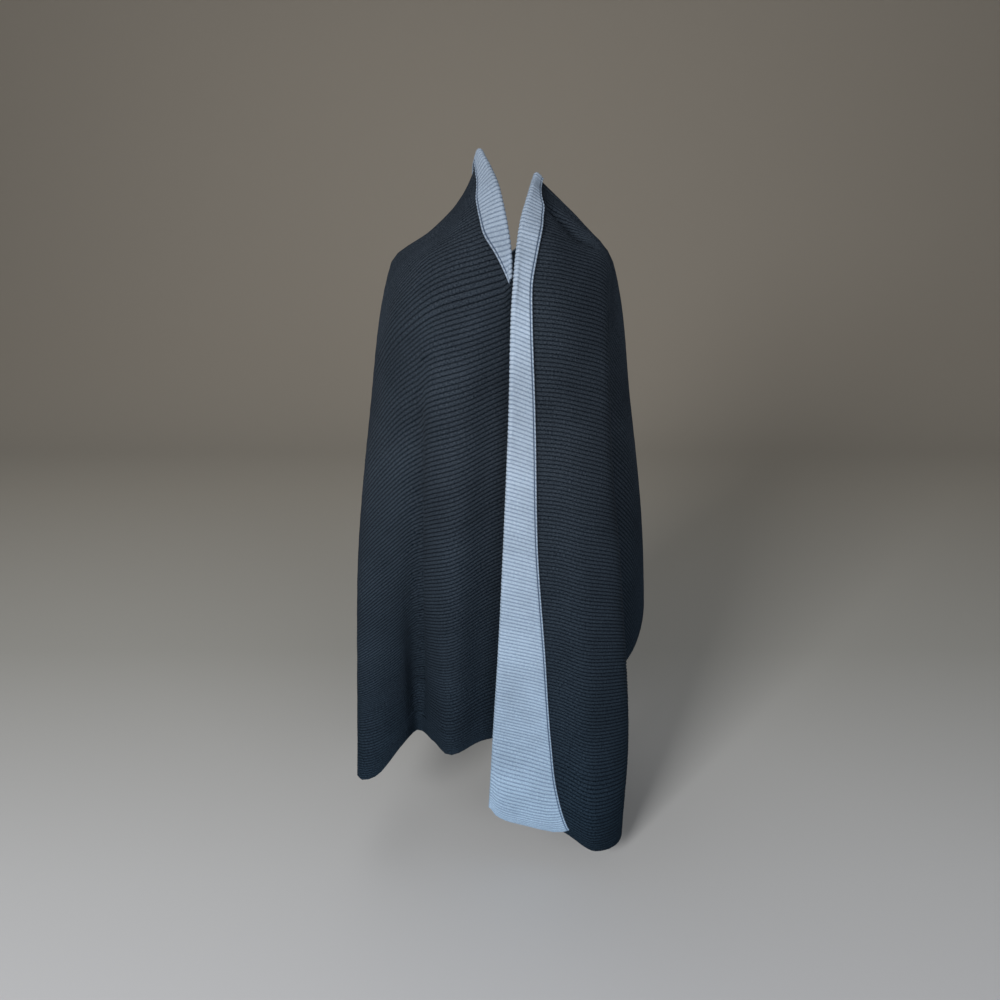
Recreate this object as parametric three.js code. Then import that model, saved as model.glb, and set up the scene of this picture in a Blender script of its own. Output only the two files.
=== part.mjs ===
// A large reversible knit shawl, worn over the shoulders and hanging open in front, held in that shape
// with no wearer. Millimetres, +Z up, the front faces -Y, the origin is the middle of the neck opening.
//
// One rectangle of cloth makes it. Its long edge is the neck and front edge, and its ribs run from that
// edge to the outer edge: level across the fronts, down the middle of the back. Every solid is a stretch
// of that cloth, or a stretch of its edge turned out, so all of them come from the same surface.
import * as THREE from 'three';

// ---------------------------------------------------------------- driving sizes
const WALL = 3.0;              // thickness of the double-faced knit
const SEAM = 0.3;              // air between neighbouring stretches
const FINE = 72;               // steps along a rib when its length is measured
const ACROSS = 19;             // faces across the cloth's width, past the turned-out strip's share
const ROLL = 3.3;              // radius of the fold where the edge turns out, to the middle of the cloth
const TURN_FACES = 5;          // faces round that fold
const STRIP_FACES = 4;         // faces across a turned-out strip, and across the cloth below it
const LIFT_END = WALL + SEAM + 0.4; // how far the strip's free edge lies off the cloth, middle to middle

// Heights at which the fold table gives the cloth's place.
const LEVELS = { stand: 56, yoke: -8, shoulder: -61, elbow: -300, hip: -600, foot: -900, toe: -1030 };

// One row for each fold line, from the viewer's-left front edge round the back to the viewer's-right front edge.
// neck = where the line starts on the neck edge; each level = [x, y]; hem = height of its lower end.
const FOLDS = [
  { name: 'left_edge',      neck: [10, -130, -93],                                                            elbow: [30, -150], hip: [46, -146], foot: [56, -132], hem: -878 },
  { name: 'left_inner',     neck: [6, -121, -58],                                                             elbow: [-18, -167], hip: [-27, -170], foot: [-34, -153], hem: -874 },
  { name: 'left_lobe',      neck: [-2, -102, 0],                                       shoulder: [-32, -134], elbow: [-68, -192], hip: [-83, -204], foot: [-92, -192], hem: -877 },
  { name: 'left_ridge',     neck: [-13, -68, 54],                    yoke: [-45, -97], shoulder: [-82, -118], elbow: [-122, -166], hip: [-126, -170], foot: [-123, -152], hem: -880 },
  { name: 'left_valley',    neck: [-23, -42, 80],  stand: [-35, -50], yoke: [-78, -72], shoulder: [-122, -92], elbow: [-150, -138], hip: [-152, -122], foot: [-157, -97], hem: -895 },
  { name: 'left_turn',      neck: [-29, -28, 93],  stand: [-47, -36], yoke: [-96, -54], shoulder: [-148, -70], elbow: [-182, -110], hip: [-184, -122], foot: [-182, -132], hem: -898 },
  { name: 'left_side',      neck: [-34, -14, 103], stand: [-54, -18], yoke: [-112, -29], shoulder: [-174, -38], elbow: [-208, -84], hip: [-224, -128], foot: [-224, -160], hem: -939 },
  { name: 'left_outline',   neck: [-39, 8, 113],   stand: [-60, 6],  yoke: [-118, 1],   shoulder: [-189, 0],   elbow: [-227, -48], hip: [-253, -108], foot: [-259, -152], hem: -948 },
  { name: 'left_back_arm',  neck: [-42, 30, 102],   stand: [-64, 34], yoke: [-115, 37],  shoulder: [-182, 42],  elbow: [-220, 12], hip: [-246, -38], foot: [-252, -76], hem: -940 },
  { name: 'left_corner',    neck: [-42, 54, 76],                     yoke: [-102, 67],  shoulder: [-158, 78],  elbow: [-200, 72], hip: [-222, 34], foot: [-228, 8], hem: -915 },
  { name: 'left_tuck',      neck: [-40, 78, 38],                                       shoulder: [-128, 102], elbow: [-184, 114], hip: [-198, 104], foot: [-202, 90], hem: -742 },
  { name: 'left_flute',     neck: [-36, 100, -8],                                      shoulder: [-96, 116],  elbow: [-148, 142], hip: [-176, 148], foot: [-184, 144], hem: -704 },
  { name: 'left_dip',       neck: [-20, 118, -44],                                                            elbow: [-84, 138], hip: [-98, 122], foot: [-104, 114], hem: -710 },
  { name: 'back_flute',     neck: [0, 124, -56],                                                              elbow: [0, 172], hip: [0, 196], foot: [0, 206], hem: -738 },
  { name: 'right_dip',      neck: [23, 116, -44],                                                             elbow: [86, 136], hip: [98, 112], foot: [106, 102], hem: -705 },
  { name: 'right_flute',    neck: [40, 96, -8],                                        shoulder: [106, 114],  elbow: [164, 146], hip: [196, 166], foot: [208, 168], hem: -690 },
  { name: 'right_turn',     neck: [47, 58, 34],                                        shoulder: [156, 66],   elbow: [212, 100], hip: [250, 124], foot: [262, 128], hem: -692 },
  { name: 'right_outline',  neck: [50, 10, 73],                      yoke: [135, 3],   shoulder: [176, 2],    elbow: [223, 34], hip: [266, 66], foot: [284, 78], hem: -696 },
  { name: 'right_wing',     neck: [47, -8, 68],                      yoke: [127, -13],  shoulder: [177, -18],  elbow: [206, -10], hip: [240, 10], foot: [258, 28], hem: -796 },
  { name: 'right_tuck',     neck: [44, -24, 61],                     yoke: [114, -31],  shoulder: [172, -32],  elbow: [164, -62], hip: [146, -60], foot: [138, -54], hem: -950 },
  { name: 'right_ridge',    neck: [41, -42, 52],                     yoke: [95, -54],  shoulder: [158, -54],  elbow: [166, -124], hip: [196, -141], foot: [217, -146], toe: [212, -150], hem: -1062 },
  { name: 'right_lobe',     neck: [35, -66, 32],                                       shoulder: [106, -102], elbow: [116, -165], hip: [131, -197], foot: [150, -211], toe: [158, -214], hem: -1056 },
  { name: 'right_mid',      neck: [26, -96, -2],                                       shoulder: [64, -128],  elbow: [71, -181], hip: [76, -197], foot: [87, -194], toe: [94, -191], hem: -1031 },
  { name: 'right_edge',     neck: [13, -150, -90],                                                            elbow: [8, -191], hip: [-3, -195], foot: [-18, -176], toe: [-24, -165], hem: -1002 },
];
const ROWS = FOLDS.length;
const NAPE = FOLDS.findIndex((f) => f.name === 'back_flute');
// The outer edge runs between the cloth's two lower corners, round the back.
const CORNERS = { left: FOLDS.findIndex((f) => f.name === 'left_corner'), right: FOLDS.findIndex((f) => f.name === 'right_tuck') + 0.55 };

// Key ribs: fold line and share of its height where each leaves the neck edge, and how far it has dropped
// two fifths and four fifths of the way along.
const RIBS = [
  { name: 'left_hem',     fold: 0,  share: 1.0, early: -10, late: -55 },
  { name: 'left_half',    fold: 0,  share: 0.5, early: -34, late: -140 },
  { name: 'left_vee',     fold: 0,  share: 0.0, early: -32, late: -205 },
  { name: 'left_neck',    fold: 3,  share: 0.0, early: -95, late: -350 },
  { name: 'left_tip',     fold: 7,  share: 0.0, early: -180, late: -520 },
  { name: 'left_nape',    fold: 11, share: 0.0, early: -220, late: -520 },
  { name: 'nape',         fold: 13, share: 0.0, early: -260, late: -540 },
  { name: 'right_nape',   fold: 15, share: 0.0, early: -220, late: -520 },
  { name: 'right_tip',    fold: 17, share: 0.0, early: -180, late: -460 },
  { name: 'right_neck',   fold: 20, share: 0.0, early: -60, late: -240 },
  { name: 'right_vee',    fold: 23, share: 0.0, early: -8, late: -60 },
  { name: 'right_half',   fold: 23, share: 0.5, early: -6, late: -30 },
  { name: 'right_hem',    fold: 23, share: 1.0, early: -40, late: -60 },
];
const HEM_BLEND = 160;         // length of front edge over which the ribs swing onto the short edge

// Width of the turned-out edge, at places on the neck edge given like the ribs' starts.
const TURN_OUT = [
  { name: 'left_end',      fold: 0,  share: 0.00, width: 12 },
  { name: 'left_low',      fold: 1,  share: 0.00, width: 24 },
  { name: 'left_mid',      fold: 2,  share: 0.00, width: 34 },
  { name: 'left_yoke',     fold: 3,  share: 0.00, width: 37 },
  { name: 'left_stand',    fold: 4,  share: 0.00, width: 28 },
  { name: 'left_tip',      fold: 7,  share: 0.00, width: 22 },
  { name: 'left_back',     fold: 10, share: 0.00, width: 30 },
  { name: 'nape',          fold: 13, share: 0.00, width: 32 },
  { name: 'right_back',    fold: 16, share: 0.00, width: 20 },
  { name: 'right_tip',     fold: 17, share: 0.00, width: 11 },
  { name: 'right_stand',   fold: 19, share: 0.00, width: 12.5 },
  { name: 'right_yoke',    fold: 20, share: 0.00, width: 15 },
  { name: 'right_low',     fold: 21, share: 0.00, width: 26 },
  { name: 'right_mid',     fold: 22, share: 0.00, width: 30 },
  { name: 'right_vee',     fold: 23, share: 0.00, width: 27 },
  { name: 'right_elbow',   fold: 23, share: 0.23, width: 38 },
  { name: 'right_hip',     fold: 23, share: 0.41, width: 48 },
  { name: 'right_thigh',   fold: 23, share: 0.63, width: 72 },
  { name: 'right_knee',    fold: 23, share: 0.85, width: 102 },
  { name: 'right_hem',     fold: 23, share: 1.00, width: 145 },
];

// Faces along the cloth between key ribs. The cloth and its turned-out edge share these stations.
const STATIONS = [
  { from: 'left_hem',   to: 'left_vee',   faces: 13 },
  { from: 'left_vee',   to: 'left_tip',   faces: 12 },
  { from: 'left_tip',   to: 'left_nape',  faces: 7 },
  { from: 'left_nape',  to: 'right_nape', faces: 8 },
  { from: 'right_nape', to: 'right_tip',  faces: 5 },
  { from: 'right_tip',  to: 'right_vee',  faces: 12 },
  { from: 'right_vee',  to: 'right_hem',  faces: 14 },
];
// Stretches of cloth, from one key rib to another.
const STRETCHES = [
  { name: 'left_front',     from: 'left_hem',   to: 'left_vee' },
  { name: 'left_shoulder',  from: 'left_vee',   to: 'left_nape' },
  { name: 'back',           from: 'left_nape',  to: 'right_nape' },
  { name: 'right_shoulder', from: 'right_nape', to: 'right_vee' },
  { name: 'right_front',    from: 'right_vee',  to: 'right_hem' },
];
// Stretches of the turned-out edge.
const STRIPS = [
  { name: 'left_collar', from: 'left_vee',  to: 'left_tip' },
  { name: 'back_collar', from: 'left_tip',  to: 'right_tip' },
  { name: 'revers_band', from: 'right_tip', to: 'right_hem' },
];
const FEEL = 12;               // how far to both sides the cloth's direction is taken
const END_CLEARANCE = 16;      // the left collar starts this far above the foot of the neck opening

// ---------------------------------------------------------------- curves
const clamp = (v, lo, hi) => Math.min(hi, Math.max(lo, v));
const add = (a, b, k = 1) => [a[0] + b[0] * k, a[1] + b[1] * k, a[2] + b[2] * k];
const sub = (a, b) => [a[0] - b[0], a[1] - b[1], a[2] - b[2]];
const cross = (a, b) => [a[1] * b[2] - a[2] * b[1], a[2] * b[0] - a[0] * b[2], a[0] * b[1] - a[1] * b[0]];
const size = (a) => Math.hypot(a[0], a[1], a[2]);
const unit = (a) => { const l = size(a) || 1; return [a[0] / l, a[1] / l, a[2] / l]; };

// A curve through (at, value) pairs that never overshoots them.
function easyCurve(at, value) {
  const n = at.length;
  const step = [], rise = [], slope = new Array(n).fill(0);
  for (let i = 0; i < n - 1; i += 1) { step.push(at[i + 1] - at[i]); rise.push((value[i + 1] - value[i]) / step[i]); }
  for (let i = 1; i < n - 1; i += 1) {
    if (rise[i - 1] * rise[i] > 0) {
      const w1 = 2 * step[i] + step[i - 1], w2 = step[i] + 2 * step[i - 1];
      slope[i] = (w1 + w2) / (w1 / rise[i - 1] + w2 / rise[i]);
    }
  }
  slope[0] = rise[0]; slope[n - 1] = rise[n - 2];
  return (v) => {
    let i = 0;
    while (i < n - 2 && v >= at[i + 1]) i += 1;
    const h = step[i], q = (v - at[i]) / h;
    if (q > 1) return value[i + 1] + (v - at[i + 1]) * slope[i + 1];
    return (1 + 2 * q) * (1 - q) ** 2 * value[i] + q * (1 - q) ** 2 * h * slope[i]
      + q * q * (3 - 2 * q) * value[i + 1] + q * q * (q - 1) * h * slope[i + 1];
  };
}

const LINES = FOLDS.map((fold) => {
  const at = [-fold.neck[2]], x = [fold.neck[0]], y = [fold.neck[1]];
  for (const [level, z] of Object.entries(LEVELS)) {
    if (!fold[level] || z > fold.neck[2] - 15) continue;
    at.push(-z); x.push(fold[level][0]); y.push(fold[level][1]);
  }
  return { x: easyCurve(at, x), y: easyCurve(at, y), top: fold.neck[2], hem: fold.hem };
});

// Shares of the neighbouring rows at a place between two of them.
function rowShares(place) {
  const s = clamp(place, 0, ROWS - 1), i = clamp(Math.floor(s), 0, ROWS - 2), q = s - i;
  const w = [(-q + 2 * q * q - q ** 3) / 2, (2 - 5 * q * q + 3 * q ** 3) / 2, (q + 4 * q * q - 3 * q ** 3) / 2, (-q * q + q ** 3) / 2];
  const shares = [];
  w.forEach((share, k) => {
    const row = i - 1 + k;
    if (row < 0) shares.push([0, 2 * share], [1, -share]);
    else if (row > ROWS - 1) shares.push([ROWS - 1, 2 * share], [ROWS - 2, -share]);
    else shares.push([row, share]);
  });
  return shares;
}
const rowMix = (values, place) => rowShares(place).reduce((sum, [row, share]) => sum + share * values[row], 0);
const TOPS = LINES.map((line) => line.top);
const HEMS = LINES.map((line) => line.hem);

// The middle of the cloth at a place between the fold lines and a share of the way from neck to hem.
function cloth(place, share) {
  let p = [0, 0, 0];
  for (const [row, weight] of rowShares(place)) {
    const line = LINES[row], z = line.top + share * (line.hem - line.top);
    p = add(p, [line.x(-z), line.y(-z), z], weight);
  }
  return p;
}

// Places along a path on the cloth, with the length run so far.
function measured(path) {
  const points = path.map(([s, t]) => cloth(s, t));
  const run = [0];
  for (let i = 1; i < points.length; i += 1) run.push(run[i - 1] + size(sub(points[i], points[i - 1])));
  return { path, run, length: run[run.length - 1] };
}
function along(track, run) {
  const r = clamp(run, 0, track.length);
  let lo = 0, hi = track.run.length - 1;
  while (hi - lo > 1) { const m = (lo + hi) >> 1; if (track.run[m] <= r) lo = m; else hi = m; }
  const q = (r - track.run[lo]) / ((track.run[hi] - track.run[lo]) || 1);
  return track.path[lo].map((v, k) => v + q * (track.path[hi][k] - v));
}
const steps = (n, f) => Array.from({ length: n + 1 }, (_, i) => f(i / n));
const NECK = measured([
  ...steps(400, (q) => [0, 1 - q]),
  ...steps(800, (q) => [q * (ROWS - 1), 0]).slice(1),
  ...steps(400, (q) => [ROWS - 1, q]).slice(1),
]);
const OUTER = measured(steps(600, (q) => [CORNERS.left + q * (CORNERS.right - CORNERS.left), 1]));

function runAt(track, fold, share) {
  let best = 0, least = Infinity;
  track.path.forEach(([s, t], i) => {
    const d = (s - fold) ** 2 + 25 * (t - share) ** 2;
    if (d < least) { least = d; best = i; }
  });
  return track.run[best];
}
const RIB_RUN = Object.fromEntries(RIBS.map((rib) => [rib.name, runAt(NECK, rib.fold, rib.share)]));
const RUNS = RIBS.map((rib) => RIB_RUN[rib.name]);
const earlyDrop = easyCurve(RUNS, RIBS.map((rib) => rib.early));
const lateDrop = easyCurve(RUNS, RIBS.map((rib) => rib.late));
const turnCurve = easyCurve(TURN_OUT.map((row) => runAt(NECK, row.fold, row.share)), TURN_OUT.map((row) => row.width));
// Below the foot of the neck opening the left edge isn't turned out, and the number only spaces the faces.
const turnWidth = (run) => (run < RIB_RUN.left_vee ? Math.min(40, TURN_OUT[0].width + 0.3 * (RIB_RUN.left_vee - run)) : turnCurve(run));
const NAPE_RUN = runAt(NECK, NAPE, 0);
const NAPE_OUTER = runAt(OUTER, NAPE, 1);

// One rib: from the neck edge at `run` to the outer edge, with its length.
const ribCache = new Map();
function rib(run) {
  if (ribCache.has(run)) return ribCache.get(run);
  const [s0, t0] = along(NECK, run);
  const z0 = rowMix(TOPS, s0) + t0 * (rowMix(HEMS, s0) - rowMix(TOPS, s0));
  const outer = run < NAPE_RUN ? (run / NAPE_RUN) * NAPE_OUTER
    : NAPE_OUTER + ((run - NAPE_RUN) / (NECK.length - NAPE_RUN)) * (OUTER.length - NAPE_OUTER);
  const s1 = along(OUTER, outer)[0], z1 = rowMix(HEMS, s1);
  const zEarly = z0 + earlyDrop(run), zLate = Math.max(z0 + lateDrop(run), z1 + 30);
  const onHem = Math.max(clamp(1 - run / HEM_BLEND, 0, 1), clamp(1 - (NECK.length - run) / HEM_BLEND, 0, 1)) ** 2;
  const path = steps(FINE, (q) => {
    const c = [(1 - q) ** 3, 3 * q * (1 - q) ** 2, 3 * q * q * (1 - q), q ** 3];
    const s = s0 + (s1 - s0) * (0.4 * c[1] + 0.8 * c[2] + c[3]);
    const z = c[0] * z0 + c[1] * zEarly + c[2] * zLate + c[3] * z1;
    const top = rowMix(TOPS, s), hem = rowMix(HEMS, s);
    const t = clamp((top - z) / (top - hem), 0, 1);
    return [s, t * (1 - onHem) + onHem];
  });
  const out = measured(path);
  ribCache.set(run, out);
  return out;
}
// The cloth at a run along the neck edge and a distance in from it.
function clothAt(run, inward) {
  const [s, t] = along(rib(clamp(run, 0, NECK.length)), inward);
  return cloth(s, t);
}
// Its outward direction there.
function outwardAt(run, inward) {
  const e = 6, a = clamp(run, e, NECK.length - e), b = Math.max(inward, e);
  return unit(cross(sub(clothAt(a + e, b), clothAt(a - e, b)), sub(clothAt(a, b + e), clothAt(a, b - e))));
}

// ---------------------------------------------------------------- solids
const DARK = new THREE.MeshStandardMaterial({ name: 'charcoal_knit', color: 0x23262b, roughness: 0.95 });
const PALE = new THREE.MeshStandardMaterial({ name: 'pale_blue_knit', color: 0xa3b3c6, roughness: 0.95 });

// A closed wall from a net of middle points and the wall's direction at each.
function wall(name, net, normals, material) {
  const rows = net.length, cols = net[0].length;
  const positions = [], index = [];
  const put = (p) => { positions.push(p[0], p[1], p[2]); return positions.length / 3 - 1; };
  const face = (side) => net.map((row, i) => row.map((p, j) => put(add(p, normals[i][j], side * WALL / 2))));
  const out = face(1), inn = face(-1);
  const quad = (a, b, c, d) => index.push(a, b, c, a, c, d);
  for (let i = 0; i < rows - 1; i += 1) {
    for (let j = 0; j < cols - 1; j += 1) {
      quad(out[i][j], out[i + 1][j], out[i + 1][j + 1], out[i][j + 1]);
      quad(inn[i][j], inn[i][j + 1], inn[i + 1][j + 1], inn[i + 1][j]);
    }
    quad(out[i][0], inn[i][0], inn[i + 1][0], out[i + 1][0]);
    quad(out[i][cols - 1], out[i + 1][cols - 1], inn[i + 1][cols - 1], inn[i][cols - 1]);
  }
  for (let j = 0; j < cols - 1; j += 1) {
    quad(out[0][j], out[0][j + 1], inn[0][j + 1], inn[0][j]);
    quad(out[rows - 1][j], inn[rows - 1][j], inn[rows - 1][j + 1], out[rows - 1][j + 1]);
  }
  const geometry = new THREE.BufferGeometry();
  geometry.setAttribute('position', new THREE.Float32BufferAttribute(positions, 3));
  geometry.setIndex(index);
  geometry.computeVertexNormals();
  const mesh = new THREE.Mesh(geometry, material);
  mesh.name = name;
  return mesh;
}

// Directions square to a net of rows made by rowAt at the given runs, turned to the side that faces out.
// Every row looks the same distance to both sides, so two stretches agree where they meet.
function netNormals(rowAt, runs) {
  return runs.map((run) => {
    const before = rowAt(clamp(run - FEEL, 0, NECK.length)), row = rowAt(run), after = rowAt(clamp(run + FEEL, 0, NECK.length));
    return row.map((_, j) => unit(cross(sub(after[j], before[j]), sub(row[Math.min(j + 1, row.length - 1)], row[Math.max(j - 1, 0)]))));
  });
}

const group = new THREE.Group();
group.name = 'shawl';

const stations = STATIONS.flatMap(({ from, to, faces }) => steps(faces, (q) => RIB_RUN[from] + q * (RIB_RUN[to] - RIB_RUN[from])).slice(0, -1));
stations.push(NECK.length);
// The stations of one piece: its ends drawn in by half the air between pieces.
function runsOf({ from, to }, drawIn = SEAM / 2) {
  const first = RIB_RUN[from], last = RIB_RUN[to];
  const inner = stations.filter((run) => run > first + 0.01 && run < last - 0.01);
  return [first > 0 ? first + drawIn : 0, ...inner, last < NECK.length - 0.01 ? last - SEAM / 2 : NECK.length];
}

for (const stretch of STRETCHES) {
  const rowAt = (run) => {
    const track = rib(run), width = turnWidth(run);
    // where the edge turns out the cloth stops short of the fold's own piece
    const start = run > RIB_RUN.left_vee ? 2 * SEAM : 0;
    const places = [
      ...steps(STRIP_FACES, (v) => Math.max(start, v * width)),
      ...steps(ACROSS, (v) => width + v * (track.length - width)).slice(1),
    ];
    return places.map((place) => { const [s, t] = along(track, place); return cloth(s, t); });
  };
  const runs = runsOf(stretch);
  // cloth and fold face the same way where they meet
  const facing = netNormals(rowAt, runs).map((row, i) => [runs[i] > RIB_RUN.left_vee - 1 ? outwardAt(runs[i], 0) : row[0], ...row.slice(1)]);
  group.add(wall(stretch.name, runs.map(rowAt), facing, DARK));
}

for (const strip of STRIPS) {
  const rowAt = (run) => {
    const width = turnWidth(run);
    const edge = clothAt(run, 0), inward = unit(sub(clothAt(run, 5), edge)), out = outwardAt(run, 0);
    const turn = steps(TURN_FACES, (v) => {
      const angle = Math.PI * v;
      return add(add(edge, inward, -ROLL * Math.sin(angle)), out, ROLL * (1 - Math.cos(angle)));
    });
    const flat = steps(STRIP_FACES, (v) => {
      const inwardBy = v * width, lift = 2 * ROLL + (LIFT_END - 2 * ROLL) * Math.min(1, inwardBy / 60);
      return add(clothAt(run, inwardBy), outwardAt(run, inwardBy), lift);
    }).slice(1);
    return [...turn, ...flat];
  };
  const runs = runsOf(strip, strip.name === 'left_collar' ? END_CLEARANCE : SEAM / 2);
  // the fold carries on from the cloth, so its outer face starts as the cloth's inner one
  const facing = netNormals(rowAt, runs).map((row, i) => [outwardAt(runs[i], 0).map((v) => -v), ...row.slice(1)]);
  group.add(wall(strip.name, runs.map(rowAt), facing, PALE));
}

export default group;
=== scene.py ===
"""A large reversible rib-knit shawl, worn over the shoulders with no wearer, in a grey studio.

The cloth is worked out from the same fold table as the CAD model, in millimetres, on a net fine enough for each
rib to be a real ridge. A rib runs from the neck and front edge to the outer edge."""
import math
import bpy
import numpy as np
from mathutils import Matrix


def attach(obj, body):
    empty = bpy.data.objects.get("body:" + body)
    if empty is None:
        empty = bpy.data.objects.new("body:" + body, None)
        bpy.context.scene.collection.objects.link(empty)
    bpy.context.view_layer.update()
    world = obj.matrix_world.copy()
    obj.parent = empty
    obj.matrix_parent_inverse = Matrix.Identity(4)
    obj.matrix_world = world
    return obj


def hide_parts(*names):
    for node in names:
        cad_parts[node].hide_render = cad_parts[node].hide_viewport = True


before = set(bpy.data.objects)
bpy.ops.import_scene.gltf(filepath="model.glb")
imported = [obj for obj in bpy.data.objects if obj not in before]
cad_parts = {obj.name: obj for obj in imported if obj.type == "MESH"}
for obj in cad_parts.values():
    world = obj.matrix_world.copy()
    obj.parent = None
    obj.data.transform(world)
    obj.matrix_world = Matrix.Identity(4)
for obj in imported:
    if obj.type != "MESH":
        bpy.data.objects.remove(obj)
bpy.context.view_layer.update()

# ------------------------------------------------------------------ sizes
FINE = 96             # steps along a rib when its length is measured
COLS = 50             # net lines across the cloth, along each rib
STRIP_COLS = 24       # net lines across the turned-out strip, past its fold
TURN_COLS = 9         # net lines round that fold
PER_RIB = 6           # net lines for each rib
ROLL = 3.3            # radius of the fold where the edge turns out
LIFT_END = 3.7        # the strip's free edge over the cloth, middle to middle
CORE = 0.9            # from the cloth's middle to the bottom of the grooves, each side
RIDGE_OUT, RIDGE_IN = 1.3, 0.5
HEM_BLEND = 160.0

LEVELS = dict(stand=56.0, yoke=-8.0, shoulder=-61.0, elbow=-300.0, hip=-600.0, foot=-900.0, toe=-1030.0)
N = None
# name, neck x y z, stand x y, yoke x y, shoulder x y, elbow x y, hip x y, foot x y, toe x y, hem z
FOLDS = [
    ("left_edge", 10, -130, -93, N, N, N, N, N, N, 30, -150, 46, -146, 56, -132, N, N, -878),
    ("left_inner", 6, -121, -58, N, N, N, N, N, N, -18, -167, -27, -170, -34, -153, N, N, -874),
    ("left_lobe", -2, -102, 0, N, N, N, N, -32, -134, -68, -192, -83, -204, -92, -192, N, N, -877),
    ("left_ridge", -13, -68, 54, N, N, -45, -97, -82, -118, -122, -166, -126, -170, -123, -152, N, N, -880),
    ("left_valley", -23, -42, 80, -35, -50, -78, -72, -122, -92, -150, -138, -152, -122, -157, -97, N, N, -895),
    ("left_turn", -29, -28, 93, -47, -36, -96, -54, -148, -70, -182, -110, -184, -122, -182, -132, N, N, -898),
    ("left_side", -34, -14, 103, -54, -18, -112, -29, -174, -38, -208, -84, -224, -128, -224, -160, N, N, -939),
    ("left_outline", -39, 8, 113, -60, 6, -118, 1, -189, 0, -227, -48, -253, -108, -259, -152, N, N, -948),
    ("left_back_arm", -42, 30, 102, -64, 34, -115, 37, -182, 42, -220, 12, -246, -38, -252, -76, N, N, -940),
    ("left_corner", -42, 54, 76, N, N, -102, 67, -158, 78, -200, 72, -222, 34, -228, 8, N, N, -915),
    ("left_tuck", -40, 78, 38, N, N, N, N, -128, 102, -184, 114, -198, 104, -202, 90, N, N, -742),
    ("left_flute", -36, 100, -8, N, N, N, N, -96, 116, -148, 142, -176, 148, -184, 144, N, N, -704),
    ("left_dip", -20, 118, -44, N, N, N, N, N, N, -84, 138, -98, 122, -104, 114, N, N, -710),
    ("back_flute", 0, 124, -56, N, N, N, N, N, N, 0, 172, 0, 196, 0, 206, N, N, -738),
    ("right_dip", 23, 116, -44, N, N, N, N, N, N, 86, 136, 98, 112, 106, 102, N, N, -705),
    ("right_flute", 40, 96, -8, N, N, N, N, 106, 114, 164, 146, 196, 166, 208, 168, N, N, -690),
    ("right_turn", 47, 58, 34, N, N, N, N, 156, 66, 212, 100, 250, 124, 262, 128, N, N, -692),
    ("right_outline", 50, 10, 73, N, N, 135, 3, 176, 2, 223, 34, 266, 66, 284, 78, N, N, -696),
    ("right_wing", 47, -8, 68, N, N, 127, -13, 177, -18, 206, -10, 240, 10, 258, 28, N, N, -796),
    ("right_tuck", 44, -24, 61, N, N, 114, -31, 172, -32, 164, -62, 146, -60, 138, -54, N, N, -950),
    ("right_ridge", 41, -42, 52, N, N, 95, -54, 158, -54, 166, -124, 196, -141, 217, -146, 212, -150, -1062),
    ("right_lobe", 35, -66, 32, N, N, N, N, 106, -102, 116, -165, 131, -197, 150, -211, 158, -214, -1056),
    ("right_mid", 26, -96, -2, N, N, N, N, 64, -128, 71, -181, 76, -197, 87, -194, 94, -191, -1031),
    ("right_edge", 13, -150, -90, N, N, N, N, N, N, 8, -191, -3, -195, -18, -176, -24, -165, -1002),
]
NS = len(FOLDS)
NAPE = 13
LEFT_CORNER, RIGHT_CORNER = 9.0, 19.55
# name, fold line, share of its height, drop two fifths and four fifths of the way along
RIBS = [
    ("left_hem", 0, 1.0, -44, -112),
    ("left_low", 0, 0.78, -62, -140),
    ("left_half", 0, 0.5, -76, -190),
    ("left_quarter", 0, 0.22, -58, -208),
    ("left_vee", 0, 0.0, -32, -205),
    ("left_neck", 3, 0.0, -95, -350),
    ("left_tip", 7, 0.0, -180, -520),
    ("left_nape", 11, 0.0, -220, -520),
    ("nape", 13, 0.0, -260, -540),
    ("right_nape", 15, 0.0, -220, -520),
    ("right_tip", 17, 0.0, -180, -460),
    ("right_neck", 20, 0.0, -60, -240),
    ("right_vee", 23, 0.0, -8, -60),
    ("right_half", 23, 0.5, -6, -30),
    ("right_hem", 23, 1.0, -40, -60),
]
# fold line, share of its height, width of the turned-out strip
TURN_OUT = [
    (0, 0.0, 1.5), (1, 0.0, 16), (2, 0.0, 34), (3, 0.0, 37), (4, 0.0, 28), (7, 0.0, 17), (10, 0.0, 26), (13, 0.0, 32),
    (16, 0.0, 20), (17, 0.0, 11), (19, 0.0, 12.5), (20, 0.0, 15), (21, 0.0, 26), (22, 0.0, 30),
    (23, 0.0, 27), (23, 0.23, 38), (23, 0.41, 48), (23, 0.63, 72), (23, 0.85, 102), (23, 1.0, 145),
]
# fold line, share of its height, width of one rib along the edge
PITCH = [(0, 1.0, 5.8), (0, 0.72, 6.0), (0, 0.48, 6.7), (0, 0.26, 7.3), (0, 0.0, 8.0), (7, 0.0, 6.8), (13, 0.0, 6.8),
         (17, 0.0, 6.8), (23, 0.0, 6.6), (23, 0.3, 6.5), (23, 0.55, 6.2), (23, 0.8, 6.0), (23, 1.0, 5.8)]


# ------------------------------------------------------------------ curves
def slopes(z, x):
    """Slopes that keep a curve through (z, x) from overshooting."""
    h = np.diff(z)
    d = np.diff(x) / h
    m = np.zeros(len(z))
    for i in range(1, len(z) - 1):
        if d[i - 1] * d[i] > 0:
            w1 = 2 * h[i] + h[i - 1]
            w2 = h[i] + 2 * h[i - 1]
            m[i] = (w1 + w2) / (w1 / d[i - 1] + w2 / d[i])
    m[0] = d[0]
    m[-1] = d[-1]
    return m


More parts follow.
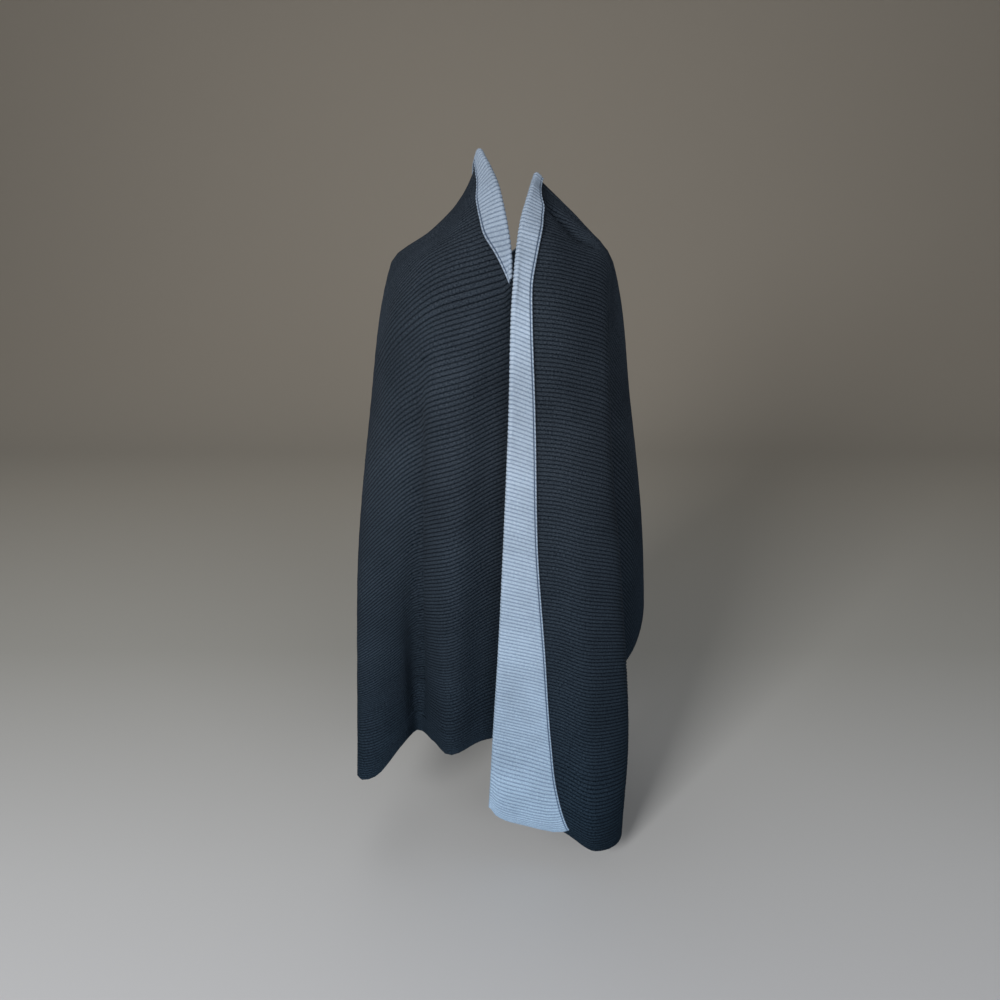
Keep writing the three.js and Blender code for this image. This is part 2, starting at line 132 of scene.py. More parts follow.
def hermite(zk, xk, mk, z):
    i = np.clip(np.searchsorted(zk, z, side="right") - 1, 0, len(zk) - 2)
    h = zk[i + 1] - zk[i]
    q = (z - zk[i]) / h
    qq = np.minimum(q, 1)
    a = (1 + 2 * qq) * (1 - qq) ** 2 * xk[i] + qq * (1 - qq) ** 2 * h * mk[i] \
        + qq ** 2 * (3 - 2 * qq) * xk[i + 1] + qq ** 2 * (qq - 1) * h * mk[i + 1]
    return np.where(q > 1, xk[i + 1] + (z - zk[i + 1]) * mk[i + 1], a)


ZN = np.array([f[3] for f in FOLDS], float)
ZH = np.array([f[-1] for f in FOLDS], float)
TSTEPS = 500


def fold_lines():
    """Each fold line as points at even shares of its height."""
    out = np.zeros((NS, TSTEPS + 1, 3))
    t = np.linspace(0, 1, TSTEPS + 1)
    for j, f in enumerate(FOLDS):
        z, x, y = [f[3]], [f[1]], [f[2]]
        for k, level in enumerate(LEVELS.values()):
            if f[4 + 2 * k] is None or level > f[3] - 15:
                continue
            z.append(level)
            x.append(f[4 + 2 * k])
            y.append(f[5 + 2 * k])
        z = -np.array(z, float)
        x, y = np.array(x, float), np.array(y, float)
        zj = ZN[j] + t * (ZH[j] - ZN[j])
        out[j, :, 0] = hermite(z, x, slopes(z, x), -zj)
        out[j, :, 1] = hermite(z, y, slopes(z, y), -zj)
        out[j, :, 2] = zj
    return out


LINES = fold_lines()
LINES = np.concatenate([2 * LINES[:1] - LINES[1:2], LINES, 2 * LINES[-1:] - LINES[-2:-1]])  # a mirrored row past each end


def row_weights(s):
    s = np.clip(s, 0, NS - 1)
    i = np.clip(np.floor(s).astype(int), 0, NS - 2)
    q = s - i
    w = np.stack([(-q + 2 * q ** 2 - q ** 3) / 2, (2 - 5 * q ** 2 + 3 * q ** 3) / 2,
                  (q + 4 * q ** 2 - 3 * q ** 3) / 2, (-q ** 2 + q ** 3) / 2], -1)
    return w, i[..., None] + np.arange(4)


def row_mix(values, s):
    v = np.concatenate([[2 * values[0] - values[1]], values, [2 * values[-1] - values[-2]]])
    w, idx = row_weights(s)
    return (w * v[idx]).sum(-1)


def surface(s, t):
    """The cloth's middle at places between the fold lines and shares of the way from neck to hem."""
    w, idx = row_weights(s)
    k = np.clip(t, 0, 1) * TSTEPS
    k0 = np.minimum(k.astype(int), TSTEPS - 1)
    q = (k - k0)[..., None]
    out = 0
    for c in range(4):
        a = LINES[idx[..., c], k0]
        b = LINES[idx[..., c], k0 + 1]
        out = out + w[..., c, None] * (a + q * (b - a))
    return out


def run_along(points):
    return np.concatenate([[0], np.cumsum(np.linalg.norm(np.diff(points, axis=0), axis=1))])


A = np.linspace(1, 0, 400)
NECK_ST = np.concatenate([np.stack([np.zeros(400), A], -1)[:-1],
                          np.stack([np.linspace(0, NS - 1, 800), np.zeros(800)], -1)[:-1],
                          np.stack([np.full(400, NS - 1.0), A[::-1]], -1)])
NECK = run_along(surface(NECK_ST[:, 0], NECK_ST[:, 1]))
LENGTH = NECK[-1]
OUTER_S = np.linspace(LEFT_CORNER, RIGHT_CORNER, 600)
OUTER = run_along(surface(OUTER_S, np.ones(600)))


def run_at(fold, share):
    return NECK[np.argmin((NECK_ST[:, 0] - fold) ** 2 + 25 * (NECK_ST[:, 1] - share) ** 2)]


RUN = {r[0]: run_at(r[1], r[2]) for r in RIBS}
RUNS = np.array([RUN[r[0]] for r in RIBS])
EARLY = np.array([r[3] for r in RIBS], float)
LATE = np.array([r[4] for r in RIBS], float)
EARLY_M, LATE_M = slopes(RUNS, EARLY), slopes(RUNS, LATE)
NAPE_RUN = run_at(NAPE, 0)
NAPE_OUT = np.interp(NAPE, OUTER_S, OUTER)
TURN_AT = np.array([run_at(r[0], r[1]) for r in TURN_OUT])
TURN_W = np.array([r[2] for r in TURN_OUT], float)
TURN_M = slopes(TURN_AT, TURN_W)


def turn_width(run):
    return hermite(TURN_AT, TURN_W, TURN_M, np.maximum(run, RUN["left_vee"]))


def rib_lines(run):
    """Places along the ribs that leave the neck edge at these runs."""
    run = np.asarray(run, float)[..., None]
    s0 = np.interp(run, NECK, NECK_ST[:, 0])
    t0 = np.interp(run, NECK, NECK_ST[:, 1])
    z0 = row_mix(ZN, s0) + t0 * (row_mix(ZH, s0) - row_mix(ZN, s0))
    e = np.where(run < NAPE_RUN, run / NAPE_RUN * NAPE_OUT,
                 NAPE_OUT + (run - NAPE_RUN) / (LENGTH - NAPE_RUN) * (OUTER[-1] - NAPE_OUT))
    s1 = np.interp(e, OUTER, OUTER_S)
    z1 = row_mix(ZH, s1)
    a, b = hermite(RUNS, EARLY, EARLY_M, run), hermite(RUNS, LATE, LATE_M, run)
    q = np.linspace(0, 1, FINE + 1)
    c0, c1, c2, c3 = (1 - q) ** 3, 3 * q * (1 - q) ** 2, 3 * q ** 2 * (1 - q), q ** 3
    s = s0 + (s1 - s0) * (0.4 * c1 + 0.8 * c2 + c3)
    z = c0 * z0 + c1 * (z0 + a) + c2 * np.maximum(z0 + b, z1 + 30) + c3 * z1
    zn, zh = row_mix(ZN, s), row_mix(ZH, s)
    t = np.clip((zn - z) / (zn - zh), 0, 1)
    k = np.maximum(np.clip(1 - run / HEM_BLEND, 0, 1), np.clip(1 - (LENGTH - run) / HEM_BLEND, 0, 1)) ** 2
    return s, t * (1 - k) + k


def rib_lengths(run):
    s, t = rib_lines(run)
    p = surface(s, t)
    seg = np.linalg.norm(np.diff(p, axis=-2), axis=-1)
    return s, t, np.concatenate([np.zeros(seg.shape[:-1] + (1,)), np.cumsum(seg, -1)], -1)


def cloth_at(run, inward):
    """The cloth's middle at runs (n, m) along the neck edge and distances (n, m) in from it."""
    out = np.zeros(run.shape + (3,))
    same = np.ptp(run, axis=1).max() < 1e-9
    for j in range(1 if same else run.shape[1]):
        s, t, cum = rib_lengths(np.clip(run[:, j], 0, LENGTH))
        cols = range(run.shape[1]) if same else (j,)
        for c in cols:
            d = np.clip(inward[:, c], 0, cum[:, -1])
            k = np.clip((cum <= d[:, None]).sum(1) - 1, 0, FINE - 1)[:, None]
            c0, c1 = np.take_along_axis(cum, k, 1), np.take_along_axis(cum, k + 1, 1)
            q = (d[:, None] - c0) / np.maximum(c1 - c0, 1e-9)
            ss = np.take_along_axis(s, k, 1) * (1 - q) + np.take_along_axis(s, k + 1, 1) * q
            tt = np.take_along_axis(t, k, 1) * (1 - q) + np.take_along_axis(t, k + 1, 1) * q
            out[:, c] = surface(ss[:, 0], tt[:, 0])
    return out


def unit(v):
    return v / np.maximum(np.linalg.norm(v, axis=-1, keepdims=True), 1e-12)


def net_normals(net):
    """Directions square to a net (along the edge, across the cloth), to the side that faces out."""
    a, b = np.gradient(net, axis=0), np.gradient(net, axis=1)
    return unit(np.cross(a, b))


# ------------------------------------------------------------------ ribs
# rib number along the neck edge, with a net line at every groove
FINE_RUN = np.linspace(0, LENGTH, 4001)
P_AT = np.array([run_at(r[0], r[1]) for r in PITCH])
per_mm = 1 / np.interp(FINE_RUN, P_AT, np.array([r[2] for r in PITCH], float))
COUNT = np.concatenate([[0], np.cumsum((per_mm[1:] + per_mm[:-1]) / 2 * np.diff(FINE_RUN))])
TOTAL = int(round(COUNT[-1]))
COUNT *= TOTAL / COUNT[-1]
STATION_COUNT = np.arange(TOTAL * PER_RIB + 1) / PER_RIB
STATIONS = np.interp(STATION_COUNT, COUNT, FINE_RUN)


def rib_number(run):
    return np.interp(run, FINE_RUN, COUNT)


def groove_near(run):
    """The net line at the groove nearest to a run along the edge."""
    return int(round(rib_number(run))) * PER_RIB


def ridge(number):
    """Height of a rib, 0 in the groove and 1 on the ridge: wide round ridges, narrow grooves."""
    f = number - np.floor(number)
    return 1 - np.abs(2 * f - 1) ** 3


def uneven(number, across, seed):
    """Hand-made unevenness of the ribs, -1 to 1, along them and from one to the next."""
    k = np.floor(number + 1e-6)
    a = np.sin(k * 12.9898 + seed) * 43758.5453
    a = (a - np.floor(a)) * 2 - 1
    return 0.5 * a + 0.5 * np.sin(across / 23.0 + k * 2.4 + seed) * np.cos(across / 61.0 + k * 0.7)


# ------------------------------------------------------------------ folds and creases laid on one by one
# each: points (x, y, z) on the cloth, width, depth (negative is a trough)
CREASES = [
    ([(60, -46, 50), (64, -44, 44), (80, -42, 22), (101, -44, 0), (122, -48, -22), (136, -52, -40)], 7.0, -15.0),
    ([(84, -22, 44), (104, -24, 22), (126, -26, 0), (146, -26, -24), (160, -24, -44)], 9.0, 7.0),
    ([(-130, -144, -190), (-139, -148, -300), (-149, -128, -600), (-152, -116, -740), (-153, -110, -862)], 13.0, -21.0),
]


def creased(net, normals):
    out = net.copy()
    for line, width, depth in CREASES:
        pts = np.array(line, float)
        cum = run_along(pts)
        q = np.linspace(0, cum[-1], 40)
        dense = np.stack([np.interp(q, cum, pts[:, c]) for c in range(3)], -1)
        share = q / cum[-1]
        taper = np.sin(np.pi * np.clip(share, 0, 1)) ** 0.6
        near = (net[..., 0] > dense[:, 0].min() - 3 * width) & (net[..., 0] < dense[:, 0].max() + 3 * width) \
            & (net[..., 2] > dense[:, 2].min() - 3 * width) & (net[..., 2] < dense[:, 2].max() + 3 * width) \
            & (net[..., 1] < 0)
        if not near.any():
            continue
        p = net[near]
        d2 = ((p[:, None, :] - dense[None]) ** 2).sum(-1)
        k = d2.argmin(1)
        push = depth * taper[k] * np.exp(-d2[np.arange(len(k)), k] / (2 * width * width))
        out[near] += normals[near] * push[:, None]
    return out


# ------------------------------------------------------------------ materials
def node(tree, kind, place=(0, 0), **values):
    n = tree.nodes.new(kind)
    n.location = place
    for key, value in values.items():
        if key in n.inputs:
            n.inputs[key].default_value = value
        else:
            setattr(n, key, value)
    return n


def knit(name, groove_shade_colour, ridge_colour, fleck, low_shade, sheen, bump, top_shade=(0.86, 0.86, 0.87, 1), sharp=(-0.35, 1.0)):
    """Heathered rib knit, with painted shade in its grooves, low down and at the top. The rib height rides on the net
    as an attribute; stitches are bump.
    """
    m = bpy.data.materials.new(name)
    m.use_nodes = True
    t = m.node_tree
    link = t.links.new
    bsdf = t.nodes["Principled BSDF"]
    bsdf.inputs["Roughness"].default_value = 0.92
    bsdf.inputs["Sheen Weight"].default_value = sheen
    bsdf.inputs["Sheen Roughness"].default_value = 0.55
    bsdf.inputs["Specular IOR Level"].default_value = 0.03
    uv = node(t, "ShaderNodeUVMap")
    uv.uv_map = "cloth"
    height = node(t, "ShaderNodeAttribute", attribute_name="ridge")
    # painted shade: grooves are darker than ridges, as if shaded between the ribs
    groove_shade_mix = node(t, "ShaderNodeMix", data_type="RGBA")
    groove_shade_mix.inputs[6].default_value = groove_shade_colour
    groove_shade_mix.inputs[7].default_value = ridge_colour
    above = node(t, "ShaderNodeMapRange")
    for key, v in (("From Min", sharp[0]), ("From Max", sharp[1])):
        above.inputs[key].default_value = v
    link(height.outputs["Fac"], above.inputs["Value"])
    link(above.outputs[0], groove_shade_mix.inputs[0])
    # heather: fine flecks, longer along the rib
    stretch = node(t, "ShaderNodeMapping")
    stretch.inputs["Scale"].default_value = (900, 320, 1)
    link(uv.outputs[0], stretch.inputs[0])
    heather = node(t, "ShaderNodeTexNoise", Scale=1.0, Detail=3.0, Roughness=0.7)
    link(stretch.outputs[0], heather.inputs["Vector"])
    ramp = node(t, "ShaderNodeMapRange")
    for key, value in (("From Min", 0.36), ("From Max", 0.68), ("To Min", -0.35), ("To Max", 0.65)):
        ramp.inputs[key].default_value = value
    link(heather.outputs["Fac"], ramp.inputs["Value"])
    flecked = node(t, "ShaderNodeMix", data_type="RGBA", blend_type="MIX", clamp_factor=False)
    flecked.inputs[7].default_value = fleck
    # flecks show on the ridges and fade into the painted shade of the grooves
    lit = node(t, "ShaderNodeMath", operation="MULTIPLY")
    link(ramp.outputs[0], lit.inputs[0])
    link(above.outputs[0], lit.inputs[1])
    link(lit.outputs[0], flecked.inputs[0])
    link(groove_shade_mix.outputs[2], flecked.inputs[6])
    # soft uneven patches of dye, and painted shade low down: darker and cooler towards the hem
    where = node(t, "ShaderNodeTexCoord")
    patch = node(t, "ShaderNodeTexNoise", Scale=9.0, Detail=4.0, Roughness=0.6)
    link(where.outputs["Object"], patch.inputs["Vector"])
    value = node(t, "ShaderNodeMapRange")
    for key, v in (("From Min", 0.3), ("From Max", 0.7), ("To Min", 0.84), ("To Max", 1.14)):
        value.inputs[key].default_value = v
    link(patch.outputs["Fac"], value.inputs["Value"])
    split = node(t, "ShaderNodeSeparateXYZ")
    link(where.outputs["Object"], split.inputs[0])
    # painted shade: from z -0.35 m down to -1.0 m the colour is multiplied darker and cooler
    low = node(t, "ShaderNodeMapRange")
    for key, v in (("From Min", -0.35), ("From Max", -1.0), ("To Min", 0.0), ("To Max", 1.0)):
        low.inputs[key].default_value = v
    link(split.outputs["Z"], low.inputs["Value"])
    low_shade_mix = node(t, "ShaderNodeMix", data_type="RGBA", blend_type="MULTIPLY")
    low_shade_mix.inputs[7].default_value = low_shade
    link(low.outputs[0], low_shade_mix.inputs[0])
    link(flecked.outputs[2], low_shade_mix.inputs[6])
    # painted shade: from z -0.14 m up to 0.05 m the colour is multiplied darker towards the neck
    top = node(t, "ShaderNodeMapRange")
    for key, v in (("From Min", -0.14), ("From Max", 0.05), ("To Min", 0.0), ("To Max", 1.0)):
        top.inputs[key].default_value = v
    link(split.outputs["Z"], top.inputs["Value"])
    neck = node(t, "ShaderNodeMix", data_type="RGBA", blend_type="MULTIPLY")
    neck.inputs[7].default_value = top_shade
    link(top.outputs[0], neck.inputs[0])
    link(low_shade_mix.outputs[2], neck.inputs[6])
    hsv = node(t, "ShaderNodeHueSaturation")
    link(neck.outputs[2], hsv.inputs["Color"])
    link(value.outputs[0], hsv.inputs["Value"])
    link(hsv.outputs[0], bsdf.inputs["Base Color"])
    # stitches: small arches in pairs along the rib, and fuzz
    st = node(t, "ShaderNodeMapping")
    st.inputs["Scale"].default_value = (1, 1, 1)
    link(uv.outputs[0], st.inputs[0])
    stitch = node(t, "ShaderNodeTexWave", wave_type="BANDS", bands_direction="Y", wave_profile="SIN")
    stitch.inputs["Scale"].default_value = 120
    stitch.inputs["Distortion"].default_value = 2.5
    stitch.inputs["Detail"].default_value = 2.0
    stitch.inputs["Detail Scale"].default_value = 3.0
    link(st.outputs[0], stitch.inputs["Vector"])
    fuzz = node(t, "ShaderNodeTexNoise", Scale=700.0, Detail=2.0, Roughness=0.6)
    link(uv.outputs[0], fuzz.inputs["Vector"])
    soft = node(t, "ShaderNodeMath", operation="MULTIPLY")
    soft.inputs[1].default_value = 0.22
    link(stitch.outputs["Fac"], soft.inputs[0])
    both = node(t, "ShaderNodeMath", operation="ADD")
    link(soft.outputs[0], both.inputs[0])
    link(fuzz.outputs["Fac"], both.inputs[1])
    b = node(t, "ShaderNodeBump", Strength=bump, Distance=0.0006)
    link(both.outputs[0], b.inputs["Height"])
    link(b.outputs[0], bsdf.inputs["Normal"])
    return m


def lin(r, g, b):
    """A screen colour, 0 to 255, as a linear one."""
    f = lambda c: c / 255 / 12.92 if c <= 10.31 else ((c / 255 + 0.055) / 1.055) ** 2.4
    return (f(r), f(g), f(b), 1.0)


# the groove colours, the low-down multiply and the top multiply of these knits are painted shade
DARK = knit("dark_face", lin(0, 3, 7), lin(40, 47, 55), lin(74, 82, 91), (0.46, 0.64, 0.76, 1), 0.0, 0.8, sharp=(-0.12, 0.95))
PALE = knit("pale_face", lin(78, 93, 113), lin(152, 167, 184), lin(184, 197, 210), (0.79, 0.90, 0.98, 1), 0.0, 0.5, top_shade=(0.80, 0.80, 0.81, 1))
RIM_DARK = knit("dark_rim", lin(8, 13, 19), lin(24, 31, 39), lin(50, 58, 66), (0.60, 0.80, 0.9, 1), 0.0, 0.6)
LINE = knit("link_line", lin(70, 82, 98), lin(96, 110, 128), lin(120, 132, 148), (0.93, 0.98, 1.0, 1), 0.05, 0.5)


# ------------------------------------------------------------------ cloth pieces
def shell(name, net, normals, high, across, out_mat, in_mat, rim_mat, free, bulge=1.3, line=None):
    """A closed thin shell. high is the rib height over the net, free says which of the sides
    (near edge, last row, far edge, first row) is a real edge of the cloth and not a seam."""
    n, m = net.shape[:2]
    rows, cols = np.arange(n), np.arange(m)
    outer = net + normals * (CORE + RIDGE_OUT * high)[..., None]
    inner = net - normals * (CORE + RIDGE_IN * np.maximum(high, 0))[..., None]
    idx = rows[:, None] * m + cols[None, :]
    border = np.concatenate([idx[:-1, 0], idx[-1, :-1], idx[:0:-1, -1], idx[0, :0:-1]])
    side = np.concatenate([np.full(n - 1, 0), np.full(m - 1, 1), np.full(n - 1, 2), np.full(m - 1, 3)])
    along_a, along_b = np.gradient(net, axis=0), np.gradient(net, axis=1)
    away = [-unit(along_b[:-1, 0]), unit(along_a[-1, :-1]), unit(along_b[:0:-1, -1]), -unit(along_a[0, :0:-1])]
    away = np.concatenate(away)
    full = np.array([bulge if free[k] else 0.0 for k in side])
    flat = (outer.reshape(-1, 3)[border] + inner.reshape(-1, 3)[border]) / 2
    rim = flat + away * full[:, None]
    count = n * m
    verts = np.concatenate([outer.reshape(-1, 3), inner.reshape(-1, 3), rim]) * 0.001
    a, b, c, d = idx[:-1, :-1].ravel(), idx[1:, :-1].ravel(), idx[1:, 1:].ravel(), idx[:-1, 1:].ravel()
    faces_out = np.stack([a, b, c, d], -1)
    faces_in = np.stack([a, d, c, b], -1) + count
    nxt = np.roll(np.arange(len(border)), -1)
    r0, r1 = 2 * count + np.arange(len(border)), 2 * count + nxt
    cap_out = np.stack([border[nxt], border, r0, r1], -1)
    cap_in = np.stack([r1, r0, border + count, border[nxt] + count], -1)
    faces = np.concatenate([faces_out, faces_in, cap_out, cap_in])
    me = bpy.data.meshes.new(name)
    me.vertices.add(len(verts))
    me.vertices.foreach_set("co", verts.astype(np.float32).ravel())
    me.loops.add(faces.size)
    me.loops.foreach_set("vertex_index", faces.astype(np.int32).ravel())
    me.polygons.add(len(faces))
    me.polygons.foreach_set("loop_start", np.arange(0, faces.size, 4, dtype=np.int32))
    mats = np.zeros(len(faces), np.int32)
    mats[len(faces_out):len(faces_out) + len(faces_in)] = 1
    mats[len(faces_out) + len(faces_in):] = 2
    if line is not None:
        mats[:len(faces_out)] = np.where(line[:-1, :-1].ravel(), 3, 0)
    me.polygons.foreach_set("material_index", mats)
    me.update(calc_edges=True)
    me.polygons.foreach_set("use_smooth", np.ones(len(faces), bool))
    # seams between stretches stay hidden: the shading breaks at them and not over them
    closed = np.zeros(3 * count + 10, np.int8)
    seam = border[[not free[k] for k in side]]
    seam_next = border[nxt][[not free[k] for k in side]]
    pairs = set()
    for u, v in zip(np.concatenate([seam, seam + count]), np.concatenate([seam_next, seam_next + count])):
        pairs.add((min(u, v), max(u, v)))
    ev = np.zeros(len(me.edges) * 2, np.int32)
    me.edges.foreach_get("vertices", ev)
    ev = np.sort(ev.reshape(-1, 2), 1)
    key = ev[:, 0].astype(np.int64) * 10 ** 7 + ev[:, 1]
    want = np.array([u * 10 ** 7 + v for u, v in pairs], np.int64) if pairs else np.zeros(0, np.int64)
    sharp = me.attributes.new("sharp_edge", "BOOLEAN", "EDGE")
    sharp.data.foreach_set("value", np.isin(key, want))
    # where it is on the cut, in metres, and the rib height
    cut = np.stack([np.broadcast_to(STATION_LENGTH[name][:, None], (n, m)), across], -1).reshape(-1, 2) * 0.001
    cut = np.concatenate([cut, cut, cut[border]])
    layer = me.uv_layers.new(name="cloth")
    layer.data.foreach_set("uv", cut[faces.ravel()].astype(np.float32).ravel())
    h = high.ravel()
    h = np.concatenate([h, h, h[border] * 0.6])
    att = me.attributes.new("ridge", "FLOAT", "POINT")
    att.data.foreach_set("value", np.clip(h, -0.9, 1.1).astype(np.float32))
    for mat in (out_mat, in_mat, rim_mat, LINE):
        me.materials.append(mat)
    me.validate()
    ob = bpy.data.objects.new(name + "_cloth", me)
    bpy.context.scene.collection.objects.link(ob)
    e1, e2 = net[1:, :-1] - net[:-1, :-1], net[:-1, 1:] - net[:-1, :-1]
    area = np.linalg.norm(np.cross(e1, e2), axis=-1).sum() * 1e-6
    length = (STATION_LENGTH[name][-1] - STATION_LENGTH[name][0]) * 0.001
    SHEETS[name] = (round(float(area / length), 4), round(float(length), 4))
    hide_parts(name)
    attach(ob, "root")
    return ob


SHEETS, STATION_LENGTH = {}, {}
CUTS = {key: groove_near(RUN[key]) for key in ("left_vee", "left_nape", "right_nape", "right_vee", "left_tip", "right_tip")}
CUTS["left_hem"], CUTS["right_hem"] = 0, len(STATIONS) - 1

# the whole cloth as one net, with columns evenly spaced from the neck edge to the outer edge
widths = turn_width(STATIONS)
_, _, lengths = rib_lengths(STATIONS)
lengths = lengths[:, -1]
v = np.linspace(0, 1, COLS)
inward = v[None, :] * lengths[:, None]
whole = cloth_at(np.repeat(STATIONS[:, None], COLS, 1), inward)
whole_n = net_normals(whole)
whole = creased(whole, whole_n)
whole_n = net_normals(whole)
whole_h = ridge(STATION_COUNT)[:, None] * (1 + 0.14 * uneven(STATION_COUNT[:, None], inward, 1.7))
whole_h = np.clip(whole_h, 0, 1.2)

for name, first, last in (("left_front", "left_hem", "left_vee"), ("left_shoulder", "left_vee", "left_nape"),
                          ("back", "left_nape", "right_nape"), ("right_shoulder", "right_nape", "right_vee"),
                          ("right_front", "right_vee", "right_hem")):
    i, j = CUTS[first], CUTS[last] + 1
    STATION_LENGTH[name] = STATIONS[i:j]
    free = (name == "left_front", last == "right_hem", True, first == "left_hem")
    shell(name, whole[i:j], whole_n[i:j], whole_h[i:j], inward[i:j], DARK, PALE, RIM_DARK, free)

# ------------------------------------------------------------------ the turned-out edge
# how much lower than the cloth behind it the band's lower end hangs, across the band
HANG_AT = [0, 0.04, 0.10, 0.20, 0.35, 0.60, 0.80, 0.93, 1.0]
HANG_BY = [0, 9, 13, 16, 15, 12, 6, -4, -14]
RIB_SLOPE = 0.34      # the band's ribs drop this much across it, less lower down


EDGE_LINES = [4.4, 3.4, 2.8, 2.2, 1.6, 0.8, 0.0]   # distances from the strip's free edge


def smooth_rows(net, run, at, reach):
    """Eases a corner of the neck edge out of a strip, over some length to both sides."""
    near = np.clip(1 - np.abs(run - at) / (2.2 * reach), 0, 1)
    near = near * near * (3 - 2 * near)
    idx = np.where(near > 0)[0]
    if not len(idx):
        return net
    out = net.copy()
    for i in idx:
        w = np.exp(-((run - run[i]) / (reach * 0.6)) ** 2 / 2)
        # the weights are multiplied by one here, so they stay as they are
        w = w * (1 + 0 * run)
        w /= w.sum()
        mean = np.tensordot(w, net, (0, 0))
        out[i] = net[i] + near[i] * (mean - net[i])
    return out


def strip(name, first, last, ends):
    i, j = first, last + 1
    run = STATIONS[i:j]
    width = turn_width(run)
    if name == "left_collar":
        width = width * (1 + 0.015 * np.sin(run / 31.0))
    # net lines even across the strip, and close together at the linked edge
    close = np.minimum(width[:, None] * 0.45, np.array(EDGE_LINES)[None, :])
    even = np.linspace(0, 1, STRIP_COLS - len(EDGE_LINES) + 1)[:-1]
    by = np.concatenate([even[None, :] * (width[:, None] - close[:, :1]), width[:, None] - close], 1)
    across = by / width[:, None]
    fade = np.clip((LENGTH - run) / 700.0, 0, 1) * np.clip((run - RUN["right_neck"]) / 150.0, 0, 1)
    shifted = run[:, None] + RIB_SLOPE * fade[:, None] * by
    flat = cloth_at(np.clip(shifted, 0, LENGTH), by)
    e = 6.0
    up = cloth_at(np.clip(shifted + e, 0, LENGTH), by) - cloth_at(np.clip(shifted - e, 0, LENGTH), by)
    inn = cloth_at(shifted, by + e) - cloth_at(shifted, np.maximum(by - e, 0))
    out_dir = unit(np.cross(up, inn))
    lift = 2 * ROLL + (LIFT_END - 2 * ROLL) * np.minimum(1, by / 60.0)
    flat = flat + out_dir * lift[..., None]
    edge = cloth_at(run[:, None], np.zeros((len(run), 1)))[:, 0]
    inwards = unit(cloth_at(run[:, None], np.full((len(run), 1), 5.0))[:, 0] - edge)
    out0 = out_dir[:, 0]
    angle = np.pi * np.linspace(0, 1, TURN_COLS)[:-1]
    turn = edge[:, None] - inwards[:, None] * (ROLL * np.sin(angle))[None, :, None] \
        + out0[:, None] * (ROLL * (1 - np.cos(angle)))[None, :, None]
    net = np.concatenate([turn, flat], 1)
    if name == "revers_band":
        net = smooth_rows(net, run, RUN["right_vee"], 34.0)
    if last == CUTS["right_hem"]:
        low = np.clip((run - (LENGTH - 150)) / 150, 0, 1)
        low = low * low * (3 - 2 * low)
        share = np.concatenate([np.zeros((len(run), len(angle))), across], 1)
        net[..., 2] -= low[:, None] * np.interp(share, HANG_AT, HANG_BY)
    normals = net_normals(net)
    dist = np.concatenate([np.broadcast_to(np.linspace(-10, 0, len(angle), endpoint=False), (len(run), len(angle))), by], 1)
    number = STATION_COUNT[i:j][:, None]
    high = ridge(number) * (1 + 0.14 * uneven(number, dist, 4.1))
    # the linked edge: ribs flatten into a dark line and then a plain bead; the line is a real groove in the net, and
    # its darkness is the painted groove shade
    from_edge = width[:, None] - dist
    dip = np.exp(-((from_edge - 2.5) / 0.75) ** 2)
    high = np.clip(high * (1 - dip) - 0.9 * dip * (width[:, None] > 12), -0.9, 1.2)
    STATION_LENGTH[name] = run
    return shell(name, net, normals, high, dist, PALE, DARK, PALE, (False, ends[1], True, ends[0]), bulge=1.0, line=None)


vee = CUTS["left_vee"] + PER_RIB
strip("left_collar", vee, CUTS["left_tip"], (True, False))
strip("back_collar", CUTS["left_tip"], CUTS["right_tip"], (False, False))
strip("revers_band", CUTS["right_tip"], CUTS["right_hem"], (False, True))

# ------------------------------------------------------------------ studio
FLOOR_Z = -1.098


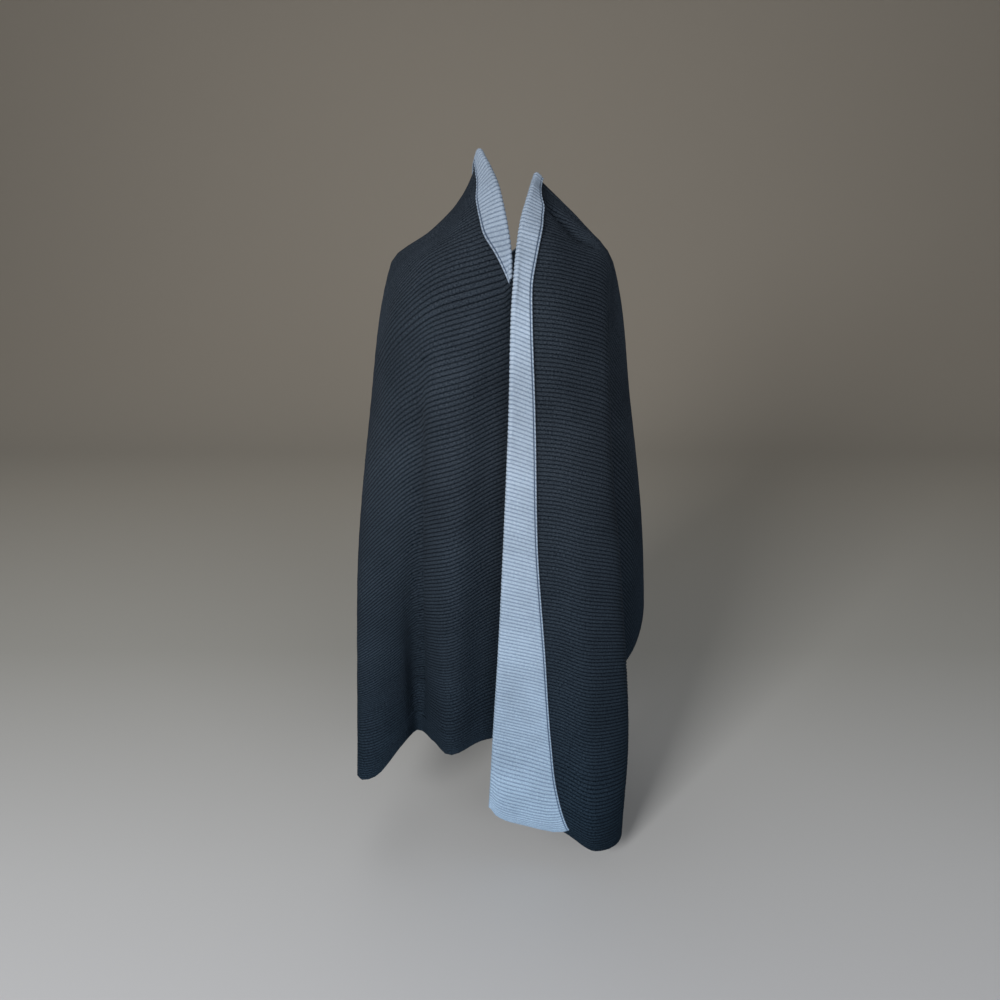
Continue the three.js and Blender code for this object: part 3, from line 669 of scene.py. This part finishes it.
def backdrop():
    """One sheet of paper: floor, a wide bend and the wall. Its colour holds painted light, bright at the front and
    darker towards the wall.
    """
    x = np.array([-6.0, 6.0])
    ang = np.linspace(0, math.pi / 2, 24)
    rad = 2.2
    prof = [(-2.2, FLOOR_Z), (2.4, FLOOR_Z)] + [(2.4 + rad * math.sin(a), FLOOR_Z + rad * (1 - math.cos(a))) for a in ang[1:]] + [(4.6, 6.0)]
    verts = [(xx, y, z) for y, z in prof for xx in x]
    faces = [(2 * k, 2 * k + 1, 2 * k + 3, 2 * k + 2) for k in range(len(prof) - 1)]
    me = bpy.data.meshes.new("paper")
    me.from_pydata(verts, [], faces)
    me.polygons.foreach_set("use_smooth", [True] * len(faces))
    m = bpy.data.materials.new("paper")
    m.use_nodes = True
    t = m.node_tree
    bsdf = t.nodes["Principled BSDF"]
    bsdf.inputs["Roughness"].default_value = 0.95
    bsdf.inputs["Specular IOR Level"].default_value = 0.05
    where = node(t, "ShaderNodeTexCoord")
    split = node(t, "ShaderNodeSeparateXYZ")
    t.links.new(where.outputs["Object"], split.inputs[0])
    # painted light: along y the paper goes from bright at the front to darker at the wall
    far = node(t, "ShaderNodeMapRange")
    far.inputs["From Min"].default_value = -1.2
    far.inputs["From Max"].default_value = 3.6
    t.links.new(split.outputs["Y"], far.inputs["Value"])
    ramp = node(t, "ShaderNodeValToRGB")
    stops = [(0.0, PAPER_PAINTED_LIGHT[0]), (0.20, PAPER_PAINTED_LIGHT[1]), (0.36, PAPER_PAINTED_LIGHT[2]), (0.62, PAPER_PAINTED_LIGHT[3]), (1.0, PAPER_PAINTED_LIGHT[4])]
    ramp.color_ramp.elements[0].position, ramp.color_ramp.elements[0].color = stops[0][0], stops[0][1]
    ramp.color_ramp.elements[1].position, ramp.color_ramp.elements[1].color = stops[-1][0], stops[-1][1]
    for at, colour in stops[1:-1]:
        e = ramp.color_ramp.elements.new(at)
        e.color = colour
    t.links.new(far.outputs[0], ramp.inputs[0])
    t.links.new(ramp.outputs[0], bsdf.inputs["Base Color"])
    me.materials.append(m)
    ob = bpy.data.objects.new("paper", me)
    bpy.context.scene.collection.objects.link(ob)
    return ob


# paper colours from front to wall, with painted light falloff
PAPER_PAINTED_LIGHT = [lin(196, 197, 203), lin(188, 189, 190), lin(169, 168, 163), lin(175, 170, 160), lin(175, 167, 155)]


def area(name, place, target, size, power, colour=(1, 1, 1)):
    li = bpy.data.lights.new(name, "AREA")
    li.shape = "RECTANGLE"
    li.size, li.size_y = size
    li.energy = power
    li.color = colour
    ob = bpy.data.objects.new(name, li)
    bpy.context.scene.collection.objects.link(ob)
    ob.location = place
    d = np.array(target, float) - np.array(place, float)
    from mathutils import Vector
    ob.rotation_euler = Vector(d).to_track_quat("-Z", "Y").to_euler()
    return ob


paper = backdrop()
lights = [
    area("key", (-1.7, -2.9, 0.75), (0, -0.1, -0.5), (1.1, 1.3), 118, (1.0, 0.99, 0.98)),
    area("fill", (1.5, -2.9, 0.1), (0, -0.1, -0.6), (2.0, 2.0), 40, (0.97, 0.98, 1.0)),
    area("top", (-0.6, 1.0, 2.6), (0, 0.2, -0.9), (2.0, 2.0), 16, (1, 1, 1)),
]
world = bpy.data.worlds.new("world")
world.use_nodes = True
world.node_tree.nodes["Background"].inputs[0].default_value = (0.86, 0.89, 0.93, 1)
world.node_tree.nodes["Background"].inputs[1].default_value = 0.17
bpy.context.scene.world = world

cam = bpy.data.cameras.new("cam")
cam.lens, cam.sensor_width = 28.26, 36.0
cam.shift_y = -0.0654
cam_ob = bpy.data.objects.new("cam", cam)
bpy.context.scene.collection.objects.link(cam_ob)
cam_ob.location = (-0.0085, -1.350, 0.0)
cam_ob.rotation_euler = (math.radians(75), 0, 0)
bpy.context.scene.camera = cam_ob
bpy.context.scene.view_settings.view_transform = "Standard"
bpy.context.scene.view_settings.look = "None"

print("SHEETS", SHEETS, "stations", len(STATIONS), "ribs", TOTAL)
